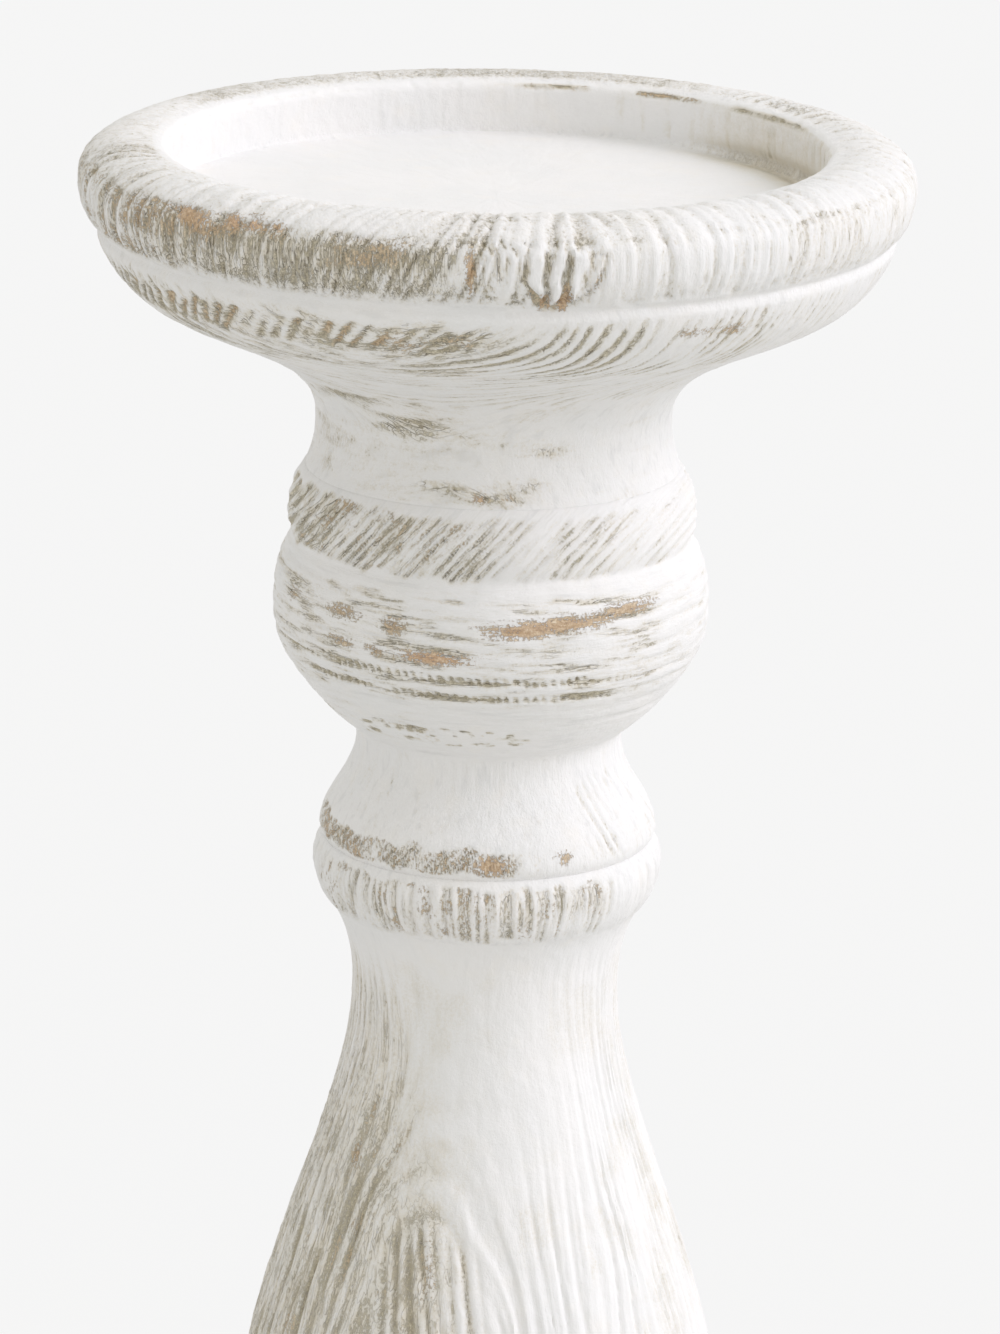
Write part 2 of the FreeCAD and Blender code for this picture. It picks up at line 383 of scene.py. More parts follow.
def greyed_left_and_patches(skin, seed):
    """Greyer on the front left of every block, more so on the front left of the wide parts, and in patches on
    their sides and back.
    """
    left = skin.sector(-100, -28, 28)
    others = skin.patches(26, 22, seed, 0.0, 0.6) * ramp(40, 80, np.abs(skin.phi))
    wide = (skin.z > 268) * (skin.r > 49) + ramp(180, 150, skin.z) * (skin.r > 18)
    skin.dirt += 0.04 * left + (0.05 * left + 0.08 * others) * wide


def upright(skin, stretch=8.0):
    """Grain space for streaks that run up and down the block's outline."""
    return [skin.x, skin.y, skin.run / stretch + skin.flat]


def level(skin, stretch=8.0):
    """Grain space for streaks that run round the block."""
    return [skin.x / stretch, skin.y / stretch, skin.z + skin.flat]


def dress_rim(skin, seed):
    """Strokes across the dish's rim, rubbed through on the front left and here and there behind."""
    outside = skin.r > 54
    side = skin.band(288.9, 297.6, 0.8, 0.5) * outside
    top = ramp(48.0, 50.0, skin.r) * ramp(296.6, 298.4, skin.z)
    rim = np.maximum(side, top)
    lean = 0.10 + 0.26 * skin.spot(-13, 292, 13, 99) - 0.16 * skin.spot(22, 292, 16, 99)
    slide = lean * (skin.run - skin.run[np.argmax(skin.r)])
    broad = skin.strokes(96, seed, slide * 0.5, width=0.28, cover=0.15)
    narrow = skin.strokes(232, seed + 10, slide, width=0.25, broken=0.14, cover=0.25)
    crowd = 0.55 * skin.stretches(14, seed + 20, -0.5, 0.5)
    crowd = np.maximum(crowd, np.maximum(skin.sector(-66, -3, 6), 0.5 * skin.sector(16, 56, 8)))
    clean = 1 - 0.4 * skin.sector(20, 84, 10)
    smooth = 1 - 0.7 * skin.sector(150, 268, 16)
    pale = 1 - 0.7 * skin.sector(-48, -16, 8)
    skin.cut(broad, side, 0.56 * (0.3 + 0.7 * clean), 0.20 * clean)
    skin.cut(broad, top * smooth, 0.28 + 0.22 * skin.sector(-70, 60, 15), 0.20 * clean * pale)
    skin.cut(narrow, side * (0.2 + 0.8 * crowd), 0.50 * (0.3 + 0.7 * clean), 0.40 * clean)
    skin.cut(narrow, top * (0.3 + 0.7 * crowd) * smooth, 0.24, 0.16 * pale)
    skin.dirt += top * (0.23 * skin.sector(152, 232, 20) + 0.06 * skin.sector(-8, 16, 10))
    skin.dirt += 0.09 * side * skin.sector(46, 84, 10)
    skin.set_grain((skin.z > RIM_CREASE) & (skin.r > 47.6), upright(skin))
    fine = streaks(skin.grain, 0.55, seed + 30)
    skin.cut(fine, rim, 0.12, 0.10)
    skin.cut(fine, top * skin.patches(9, 9, seed + 31, -0.2, 0.4), 0.06, 0.18 * clean * smooth * pale)
    beside = skin.sector(-2.5, 4.5, 1.5) * side
    skin.cut(fine, beside, 0.12, 0.38)

    patchy = skin.patches(5, 4, seed + 40)
    speckled = skin.sector(-48, -8, 6) * skin.band(289.8, 295.8) * outside
    edge = skin.sector(-60, -14, 6) * skin.band(293.8, 297.4, 0.9) * outside
    rope = skin.sector(-76, -52, 6) * side
    others = patchy * ramp(60, 80, np.abs(skin.phi)) * side * crowd
    skin.dirt += speckled * (0.17 + 0.18 * patchy) + 0.22 * others + 0.04 * rope + 0.10 * edge
    skin.bare += edge * (0.08 + 0.22 * patchy) + 0.35 * others + 0.12 * speckled * patchy
    skin.bare += rope * (0.12 + 0.3 * broad)
    crust = skin.patches(1.8, 1.8, seed + 41, -0.5, 0.2)
    skin.bare += 0.22 * skin.spot(-45, 294.0, 6, 2.2) * outside
    worn = skin.spots(
        (-47, 297.4, 2.4, 1.4), (-42.5, 296.6, 2.4, 1.7), (-37.5, 297.6, 1.8, 1.0), (-33.8, 297.3, 2.6, 1.3),
        (-29.6, 297.2, 1.6, 0.9), (151, 296, 4, 1.7), (-128, 296, 5, 1.7), (97, 296, 3, 1.7),
    )
    skin.rub(worn * outside, 0.2 + 0.4 * crust, warm=0.6)
    skin.rub(skin.spot(-3.2, 293.5, 0.7, 3.6) * outside, 0.8, warm=0.4)


def dress_knot(skin, seed):
    """Three thick uneven lobes on the front of the rim, in a ragged brown U-shaped outline."""
    wobble = noise([skin.turn * 90, skin.z / 2.2], seed, 90)
    down = (297.0 - skin.z) / 8.4
    away = (skin.phi - 9.2 + 1.0 * down + 0.35 * wobble) / (5.6 - 1.2 * down)
    fill = 1 - np.sqrt(np.abs(away) ** 3 + np.clip(down - 0.45, 0, 2) ** 2 * 3.2) + 0.08 * wobble
    front = (skin.r > 56.5) * (skin.z > 287.5) * ramp(-0.02, 0.16, down)
    inside = ramp(0.0, 0.12, fill) * front
    outline = ramp(-0.20, -0.03, fill) * ramp(0.16, 0.02, fill) * front
    for field in (skin.height, skin.dirt, skin.bare):
        field *= 1 - np.maximum(inside, outline)
    first = np.exp(-(((away + 0.38) / (0.16 - 0.06 * down)) ** 4))
    second = np.exp(-(((away - 0.11 - 0.05 * down) / (0.07 + 0.10 * down)) ** 4))
    gaps = np.maximum(first, second)
    hollow = np.exp(-(((away - 0.72 + 0.12 * down) / 0.22) ** 4)) * ramp(0.98, 0.75, down) * inside
    fine = streaks([skin.x, skin.y, skin.run / 6 + skin.flat], 0.5, seed + 1, octaves=2)
    ticks = ramp(-0.3, 0.3, noise([skin.turn * 640, skin.z / 2.5], seed + 2, 640))
    along = between(-0.8, 0.35, 0.2, away) * ramp(0.52, 0.80, down)
    fringe = np.exp(-((fill / 0.20) ** 2)) * along * front
    skin.cut(gaps, inside, 0.95, 0.42)
    skin.cut(fine, gaps * inside, 0.0, 0.50)
    skin.cut(fine, inside * (1 - gaps), 0.10, 0.12)
    skin.cut(outline, front, 0.50, 0.34)
    skin.cut(hollow, 1.0, 0.42, 0.16)
    skin.cut(hollow, fine, 0.12, 0.26)
    skin.dirt += 0.40 * outline * ramp(-0.2, -0.5, away) * ramp(0.2, 0.4, down)
    skin.height += 0.20 * inside * (1 - gaps) * (1 - hollow)
    skin.dirt += 0.4 * fringe * (1 - ticks)
    skin.bare += 0.75 * fringe * (0.35 + 0.65 * ticks) + 0.7 * second * inside * ramp(0.45, 0.8, down)
    skin.bare += 0.5 * outline * skin.spot(13.6, 291.5, 1.2, 2.5)
    skin.warm += 0.5 * fringe


def dress_bowl(skin, seed):
    """Growth rings sweep over the underside as smiling arcs, dashed on the left and long on the right."""
    bowl = skin.band(268.5, 285.4, 1.2, 0.5, 28)
    warp = 1.6 * noise([skin.x / 17, skin.y / 17, skin.z / 17 + skin.flat], seed)
    depth, across = skin.planes(-20, warp)
    left = ramp(2, -6, skin.phi) * ramp(-120, -90, skin.phi)
    right = ramp(-14, -4, skin.phi) * ramp(50, 40, skin.phi) * (1 - 0.45 * ramp(14, 28, skin.phi))
    sure = 0.2 + 0.5 * skin.spot(5, 282, 14, 6)
    rings = furrows(depth / 1.45, [across, skin.z], seed + 1, width=0.22, broken=0.11, cover=sure)
    dashes = furrows(depth / 1.9, [across, skin.z], seed + 2, width=0.27, broken=0.36, cover=0.15)
    slant = skin.strokes(132, seed + 7, 0.30 * skin.run, width=0.27, broken=0.16, cover=0.3)
    line_band = skin.band(275.5, 284.4, 1.4)
    dash_band = skin.band(281.0, 284.0, 0.9)
    skin.cut(rings, bowl * line_band * (0.3 + 0.7 * right), 0.26, 0.75)
    skin.cut(rings, bowl * (1 - line_band), 0.13, 0.30)
    skin.cut(dashes, bowl * skin.band(276.5, 281.0) * left, 0.22, 0.26)
    skin.cut(slant, bowl * dash_band * left, 0.46, 0.72)
    skin.bare += 0.80 * slant**2 * bowl * dash_band * left * skin.patches(9, 5, seed + 5, -0.6, 0.2)
    skin.dirt += bowl * (0.05 * line_band * left + 0.20 * skin.spot(0, 282.8, 4, 1.8))
    skin.set_grain((skin.z < RIM_CREASE) & (skin.r > 20), [depth, across / 7, skin.z / 3 + skin.flat])
    skin.cut(streaks(skin.grain, 0.6, seed + 3), bowl, 0.07, 0.12 + 0.14 * skin.patches(12, 6, seed + 4))
    worn = skin.spots((36, 283.0, 2.6, 1.1), (30, 283.4, 3.5, 0.9), (-13, 282.2, 3, 1.6), (-5, 282.6, 3, 1.2))
    skin.rub(worn * bowl, 0.42, 0.14, 0.2)


def dress_cove(skin, seed):
    """Smooth white hollow with faint level streaks and a ragged row of dark marks above the joint."""
    cove = skin.band(253.0, 267.5, 1.0, 0.5, 20)
    thin = streaks(level(skin), 0.9, seed)
    patch = skin.patches(11, 3.5, seed + 1, 0.0, 0.5)
    skin.cut(thin, cove, 0.08, 0.10)
    bright = 1 - 0.6 * skin.sector(32, 90, 16)
    skin.dirt += (0.03 + 0.18 * patch + 0.05 * skin.sector(-40, 10, 14)) * cove * bright
    marks = skin.spots(
        (-26, 264.0, 10, 1), (-44, 267.0, 12, 1), (-12, 262.4, 12, 1), (20, 260.5, 9, 1), (150, 262, 18, 1),
    )
    skin.cut(marks, cove, 0.05, 0.20)
    skin.cut(marks * thin, cove, 0.05, 0.35)
    specks = streaks([skin.x / 1.8, skin.y / 1.8, skin.z / 0.9], 1.0, seed + 2)
    row = skin.spots(
        (-15, 254.9, 8, 0.8), (0, 253.9, 9, 1.0), (12, 255.4, 6, 0.9),
        (-64, 254.8, 4, 1.0), (150, 255.0, 20, 0.8), (-130, 256.0, 12, 0.9),
    )
    skin.cut(row, cove, 0.10, 0.24)
    skin.cut(row * specks, cove, 0.20, 0.50)
    warmest = skin.spot(-3.6, 253.7, 2.4, 0.9) + 0.7 * skin.spot(5, 253.8, 2.2, 0.8)
    skin.rub(warmest * cove, 0.62, warm=0.6)


def dress_recess(skin, seed):
    """Plain floor and wall of the recess, with a rubbed lip, and painted shade greying the corner and wall on
    the right.
    """
    wall = (np.abs(skin.r - RECESS_RADIUS) < 0.6) * between(292.6, 298.6, 0.3, skin.z) + skin.flat
    above = skin.z > 290
    floor = (skin.r < 46.8) * above + skin.flat
    # The stain on the right of the wall is partly real stain and partly painted shade where the rim shades
    # it.
    stained_and_shaded = skin.sector(60, 150, 25) * skin.patches(7, 4, seed + 4)
    skin.cut(streaks(upright(skin), 1.2, seed), wall, 0.08, 0.05 + 0.20 * stained_and_shaded)
    corner = np.exp(-(((skin.r - 46.4) / 1.5) ** 2 + ((skin.z - 291.8) / 1.3) ** 2)) * above
    skin.cut(corner, skin.sector(72, 130, 20), 0.8)
    # Painted shade: smooth grey-brown laid into the floor's right-hand corner and the wall above it, a
    # painted contact shadow from the rim's right wall.
    shaded = np.exp(-(((skin.r - 45.2) / 3.4) ** 2 + ((skin.z - 291.8) / 2.2) ** 2)) * above
    shaded = shaded * skin.sector(86, 124, 28)
    # A little dirt on the whole wall, painted shade on its right-hand part, and the painted corner shadow.
    skin.dirt += wall * (0.04 + 0.25 * skin.sector(60, 124, 25)) * (1 - shaded) + 0.64 * shaded
    skin.hairy *= 1 - 0.8 * np.maximum(floor, wall)
    # The streaks fade out in the painted shade, so that it stays smooth.
    skin.hairy -= 0.8 * shaded
    skin.dirt += 0.02 * floor
    lip = between(298.5, 299.0, 0.25, skin.z) * between(46.9, 47.8, 0.2, skin.r)
    nicks = ramp(-0.1, 0.6, fractal([skin.turn * 90, skin.z], seed + 2, 90))
    back = skin.sector(116, 186, 10) * skin.stretches(34, seed + 3, -0.7, 0.3)
    skin.cut(nicks, lip, 0.25, 0.10 + 0.4 * back)
    skin.dirt += 0.40 * lip * back
    skin.bare += 0.40 * lip * back * skin.stretches(22, seed + 6, -0.2, 0.3)


def dress_collar(skin, seed):
    """Slanting hatch round the collar, browner on the front left."""
    collar = skin.band(242.8, 250.6, 1.0, 0.7, 24)
    plane = skin.z - 1.12 * skin.x + 0.25 * skin.y
    hatch = furrows(plane / 1.9, [0.5 * skin.x, 0.5 * skin.y], seed, width=0.25, broken=0.3, cover=0.3)
    left = skin.sector(-84, -10, 12)
    middle = skin.sector(-84, 32, 14)
    skin.set_grain(skin.z > COLLAR_CREASE, [plane / 1.6, skin.x / 6, skin.z / 6 + skin.flat])
    thin = streaks(skin.grain, 0.6, seed + 3)
    skin.cut(hatch, collar, 0.32, 0.18 + 0.12 * middle + 0.18 * left)
    skin.cut(thin, collar, 0.08, 0.08 + 0.10 * middle + 0.12 * left)
    skin.dirt += collar * (0.06 * middle + 0.08 * left + 0.07 * skin.sector(44, 90, 12))
    rubbed = skin.patches(4, 3, seed + 4)
    skin.bare += (0.10 + 0.36 * hatch) * collar * left * rubbed
    skin.bare += 0.25 * skin.band(248.0, 251.0, 0.6, 0.5, 24) * skin.sector(-84, -34, 8) * rubbed


def dress_bulb(skin, seed):
    """Level bands round the bulb, broken into dashes, with two rubbed patches on the front."""
    bulb = skin.band(219.0, 240.6, 1.2, 0.5, 22)
    skin.set_grain((skin.z < COLLAR_CREASE) & (skin.z > BULB_CREASE), level(skin))
    tilted = skin.z + 0.03 * skin.x
    bands = furrows(tilted / 2.35, [skin.x, skin.y], seed, width=0.2, broken=0.15, cover=0.1)
    thin = furrows(tilted / 0.95, [skin.x, skin.y], seed + 5, width=0.27, broken=0.2, cover=0.1)
    fine = streaks(skin.grain, 0.55, seed + 8)
    middle = skin.band(224.5, 239.0, 1.2)
    gaps = ramp(-0.35, 0.15, noise([skin.turn * 17, skin.z / 9], seed + 15, 17))
    front = (0.3 + 0.7 * skin.sector(-84, 36, 18)) * (1 - 0.45 * skin.sector(-100, -18, 8) * (1 - gaps))
    patch = skin.patches(7, 2.6, seed + 9)
    skin.cut(bands, bulb, 0.28, 0.50 * middle * front)
    skin.cut(thin, bulb, 0.11, (0.12 + 0.40 * patch) * middle * front)
    skin.cut(fine, bulb, 0.07, 0.10 + 0.14 * middle)
    rows = between(227.6, 228.6, 0.3, tilted) + between(225.0, 225.7, 0.3, tilted)
    here = np.maximum(skin.stretches(11, seed + 12, -0.4, 0.2), skin.sector(-24, 14, 6))
    rows = rows * here * (0.2 + 0.8 * skin.sector(-54, 26, 12))
    tick_turn = skin.turn * 150 + 0.15 * skin.z
    ticks = furrows(tick_turn, [skin.z * 4], seed + 11, 150, width=0.26, broken=0.5, cover=0.2)
    skin.cut(rows, bulb, 0.06, 0.04)
    skin.cut(rows * ticks, bulb, 0.30, 0.70)
    for phi, z, wide, tall, warm in (
        (7, 235.7, 9, 1.2, 0.45), (22, 236.4, 10, 1.2, 0.3), (39, 237.4, 9, 1.0, 0.1),
        (-14, 231.4, 12, 1.0, 0.95), (-26, 235.4, 4, 1.3, 0.1), (-42, 236.0, 6, 1.0, 0.0),
        (-64, 236.0, 5, 1.2, 0.1), (-42, 231.8, 5, 0.7, 0.0), (-31, 231.6, 3, 1.0, 0.1),
        (110, 234, 12, 1.0, 0.3), (-120, 237, 10, 1.0, 0.1), (165, 230, 12, 0.9, 0.3),
    ):
        bare, dirt = (0.56, 0.24) if phi < -20 else (0.84, 0.02)
        skin.rub(skin.spot(phi, z, wide, tall) * bulb, bare, dirt, warm)
    foot = skin.band(216.4, 218.8, 0.7, 0.4, 20)
    specks = streaks([skin.x / 1.6, skin.y / 1.6, skin.z / 0.8], 1.0, seed + 13)
    skin.cut(specks, foot * skin.stretches(12, seed + 14, -0.2, 0.4), 0.12, 0.8)


def dress_cushion(skin, seed):
    """Smooth neck and cushion, rubbed brown along the cushion's lower edge on the left."""
    neck = skin.band(197.0, 215.5, 1.0, 0.5, 18)
    skin.set_grain(skin.z < BULB_CREASE, upright(skin, 6.0))
    skin.cut(streaks(skin.grain, 0.9, seed), neck, 0.06, 0.10)
    low = skin.band(197.6, 200.4, 0.7, 0.7)
    left = skin.sector(-84, 8, 6)
    right = skin.sector(44, 90, 10)
    plane = skin.z - 1.1 * skin.x + 0.2 * skin.y
    hatch = furrows(plane / 1.35, [skin.x, skin.y], seed + 1, width=0.27, broken=0.2, cover=0.5)
    crust = skin.patches(1.6, 1.0, seed + 3, -0.5, 0.3)
    skin.cut(hatch, neck * low * (0.3 + 0.7 * left), 0.30, 0.40)
    bend = furrows(skin.turn * 84 + skin.z * 0.24, [skin.z], seed + 2, 84, width=0.25)
    skin.cut(bend, neck * right * skin.band(199.0, 208.0, 1.5), 0.26, 0.25)
    skin.cut(crust, neck * low * left, 0.10, 0.12)
    skin.dirt += 0.10 * neck * low * left
    flaked = crust * skin.patches(6, 4, seed + 5, -0.4, 0.3)
    skin.bare += neck * low * left * (0.16 + 0.20 * hatch + 0.16 * flaked)
    skin.warm += 0.30 * left * low
    worn = skin.spots((27, 199.2, 3.5, 1), (2, 198.6, 4, 1), (140, 199.5, 14, 1), (-125, 199.0, 8, 1))
    skin.rub(worn * neck, 0.55)


def dress_ring(skin, seed):
    """Upright strokes round the ring at the baluster's top."""
    ring = skin.band(187.2, 194.8, 0.8, 0.6, 22)
    skin.set_grain(skin.z > RING_CREASE, upright(skin))
    broad = skin.strokes(58, seed, width=0.27)
    narrow = skin.strokes(128, seed + 1, width=0.27, broken=0.2)
    worn = skin.sector(-66, 40, 12) + 0.5 * skin.sector(110, 200, 20)
    clean = 1 - 0.5 * skin.sector(30, 80, 14)
    bunches = 0.35 + 0.65 * skin.stretches(18, seed + 6, -0.4, 0.4)
    skin.cut(broad, ring, 0.42, 0.28 * clean * bunches)
    skin.cut(narrow, ring, 0.24, (0.10 + 0.28 * worn) * clean * bunches)
    ragged = skin.patches(3, 4, seed + 3, -0.1, 0.6)
    skin.dirt += ring * (0.09 * worn + 0.14 * skin.spot(30, 193, 14, 2.5))
    skin.bare += ring * worn * ragged * (0.12 + 0.36 * np.maximum(broad, narrow))


def dress_baluster(skin, seed):
    """Growth rings leave tall arches down the swelling belly, dark on the left and soft on the right."""
    belly = ramp(186.0, 176.0, skin.z) * ramp(56.0, 62.0, skin.z) * (skin.r > 18) + skin.flat
    warp = 1.5 * fractal([skin.x / 14, skin.y / 14, skin.z / 40], seed, octaves=2)
    away = np.radians(skin.phi + 13)
    across = skin.r * np.sin(away)
    grown = (0.3 * skin.r + 15) * np.cos(away) + warp
    run = [skin.x * 0.4, skin.y * 0.4, skin.z * 0.35 + skin.flat]
    arches = furrows(grown / 1.5, run, seed + 1, width=0.21, broken=0.14, cover=0.25)
    thin = furrows(grown / 0.66, run, seed + 2, width=0.26, broken=0.16, cover=0.1)
    calm = 1 - 0.88 * np.exp(-(((skin.phi - 10) / 40) ** 4 + ((skin.z - 164) / 19) ** 4))
    neck_left = ramp(185.0, 172.0, skin.z) * skin.sector(-95, -34, 12)
    lower = np.maximum(ramp(182.0, 150.0, skin.z), 0.75 * neck_left)
    left = ramp(6, -34, skin.phi) * ramp(-170, -140, skin.phi) + 0.45 * skin.sector(130, 200, 30)
    skin.set_grain(skin.z < RING_CREASE, [grown * 1.5, across / 2, skin.z / 26 + skin.flat])
    skin.hairy *= np.where(skin.z < RING_CREASE, 0.2 + 0.45 * calm, 1)
    fine = streaks(skin.grain, 0.5, seed + 3)
    peak = 148 - 0.4 * np.abs(skin.phi + 17)
    fan = skin.sector(-28, 2, 8) * ramp(0, -6, skin.z - peak) * (skin.z > 60)
    spread = skin.turn * 86 + 0.08 * (skin.z - 140) + 0.3 * warp
    ridges = furrows(spread, run, seed + 8, 86, wander=0.6, broken=0.3, cover=0.4)
    strength = belly * (0.25 + 0.75 * lower) * calm
    patch = skin.patches(6, 12, seed + 5, -0.3, 0.4)
    skin.cut(ridges, belly * fan, 0.62, 0.44 * (0.6 + 0.4 * patch))
    strength = strength * (1 - 0.9 * fan)
    skin.cut(arches, strength, 0.50, 0.05 + 0.44 * left * (0.35 + 0.65 * patch))
    skin.cut(thin, strength, 0.22, 0.04 + 0.28 * left * patch)
    skin.cut(fine, belly * calm, 0.09, 0.03 + 0.10 * left * lower)
    # The greyer left of the belly, with the spot at -48 degrees, is partly grey stain and partly painted
    # shade on the side away from the key light.
    skin.dirt += belly * (0.20 * left * lower * calm + 0.14 * skin.spot(-48, 157, 12, 12))
    skin.dirt += 0.16 * belly * skin.patches(7, 9, seed + 9, -0.3, 0.5) * skin.sector(-16, 90, 16)
    ragged = skin.patches(4, 8, seed + 4, 0.0, 0.6)
    skin.bare += belly * lower * left * ragged * (0.02 + 0.34 * arches) * calm
    worn = skin.spots((-50, 150, 3, 3), (-42, 142, 3, 2), (-16, 138, 3, 4), (-60, 120, 3, 8))
    skin.rub(worn * belly, 0.34)
    bead = skin.band(46.2, 55.3, 1.0, 0.6, 20)
    skin.set_grain(skin.z < ANKLE_CREASE, upright(skin))
    skin.cut(skin.strokes(92, seed + 6, width=0.27), bead, 0.26, 0.45)
    skin.bare += 0.5 * bead * skin.band(49, 53, 1.2) * skin.patches(6, 4, seed + 7, 0.0, 0.5)


def dress_base(skin, seed):
    """Arching rings over the foot's ogee, and upright strokes round its edge."""
    top = skin.band(21.5, 43.0, 1.2, 0.6, 20)
    edge = skin.band(3.5, 18.2, 1.0, 0.6, 50)
    warp = 1.8 * noise([skin.x / 18, skin.y / 18, skin.z / 18 + skin.flat], seed)
    depth, across = skin.planes(12, warp)
    rings = furrows(depth / 1.8, [across, skin.z], seed + 1, broken=0.1, cover=0.15)
    skin.set_grain(skin.z > FOOT_CREASE, [depth, across / 7, skin.z / 4 + skin.flat])
    skin.set_grain(skin.z < FOOT_CREASE, upright(skin))
    patch = skin.patches(14, 8, seed + 2)
    skin.cut(rings, top, 0.26, 0.18 + 0.42 * patch)
    broad = skin.strokes(94, seed + 3, width=0.26)
    narrow = skin.strokes(254, seed + 4, width=0.26, broken=0.16, cover=0.1)
    crowd = skin.stretches(13, seed + 5, -0.4, 0.4)
    skin.cut(broad, edge, 0.44, 0.28)
    skin.cut(narrow, edge, 0.28, 0.2 + 0.4 * crowd)
    ragged = skin.patches(8, 6, seed + 6, 0.0, 0.6)
    skin.bare += edge * skin.band(9, 17.5, 1.5) * crowd * ragged * 0.55
    skin.cut(streaks(skin.grain, 0.55, seed + 7), np.maximum(top, edge), 0.09, 0.16)


# -------- meshes

def grid_faces(rows, columns, closed):
    """Faces of a turned grid. An open outline ends in one point on the axis at each end."""
    across = np.arange(columns)
    beside = np.roll(across, -1)
    faces = []
    first, last = (0, rows - 1) if closed else (1, rows - 2)
    start = 0 if closed else 1
    for row in range(first, last):
        a = start + (row - first) * columns
        b = a + columns
        if closed and row == rows - 2:
            b = 0
        faces.append(np.column_stack([a + across, b + across, b + beside, a + beside]))
    quads = np.vstack(faces).tolist()
    if closed:
        return quads
    bottom = 1 + (last - first) * columns
    end = 1 + (last - first + 1) * columns
    quads += [[0, 1 + i, 1 + j] for i, j in zip(across.tolist(), beside.tolist())]
    quads += [[bottom + i, end, bottom + j] for i, j in zip(across.tolist(), beside.tolist())]
    return quads


def per_vertex(field, closed):
    """A grid field in the order of the mesh's vertices."""
    if closed:
        return field[:-1].ravel()
    return np.r_[field[0, :1], field[1:-1].ravel(), field[-1, :1]]


def relieved(skin):
    """Positions of the grid's points, pushed along the outline's normal by the relief."""
    slope = np.gradient(skin.outline, axis=0)
    length = np.maximum(np.hypot(slope[:, 0], slope[:, 1]), 1e-9)[:, None]
    out_r = -slope[:, 1:] / length
    out_z = slope[:, :1] / length
    low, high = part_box(skin.node)
    relief = skin.height * skin.shown * ramp(0, JOINT_FADE, skin.z - low.z / MM)
    if high.z < cad_bounds[1][2]:
        relief = relief * ramp(0, JOINT_FADE, high.z / MM - skin.z)
    radius = skin.r + out_r * relief
    height = skin.z + out_z * relief
    radius = np.minimum(radius, high.x / MM)
    height = np.clip(height, low.z / MM, high.z / MM)
    return radius * np.sin(skin.angle), -radius * np.cos(skin.angle), height


def placed(name, data):
    """A new object in the scene."""
    thing = bpy.data.objects.new(name, data)
    bpy.context.scene.collection.objects.link(thing)
    return thing


def turned_object(name, grid, closed, material, smooth_deg):
    """A mesh object from a turned grid in millimetres, smooth but for edges over the angle given."""
    vertices = np.column_stack([per_vertex(c, closed) * MM for c in grid])
    mesh = bpy.data.meshes.new(name)
    mesh.from_pydata(vertices.tolist(), [], grid_faces(*grid[0].shape, closed))
    mesh.update()
    mesh.shade_smooth()
    mesh.set_sharp_from_angle(angle=math.radians(smooth_deg))
    mesh.materials.append(material)
    return placed(name, mesh)


def wood_piece(skin, material):
    """The block's relief as a mesh, with the wear and painted-shade fields that its material reads."""
    piece = turned_object(skin.node + "_wood", relieved(skin), skin.closed, material, 50)
    for field in WEAR_AND_SHADE:
        values = per_vertex(getattr(skin, field), skin.closed).astype(np.float32)
        piece.data.attributes.new(field, "FLOAT", "POINT").data.foreach_set("value", values)
    grain = np.column_stack([per_vertex(c, skin.closed) for c in skin.grain]).astype(np.float32)
    piece.data.attributes.new("grain", "FLOAT_VECTOR", "POINT").data.foreach_set("vector", grain.ravel())
    return piece


# -------- materials

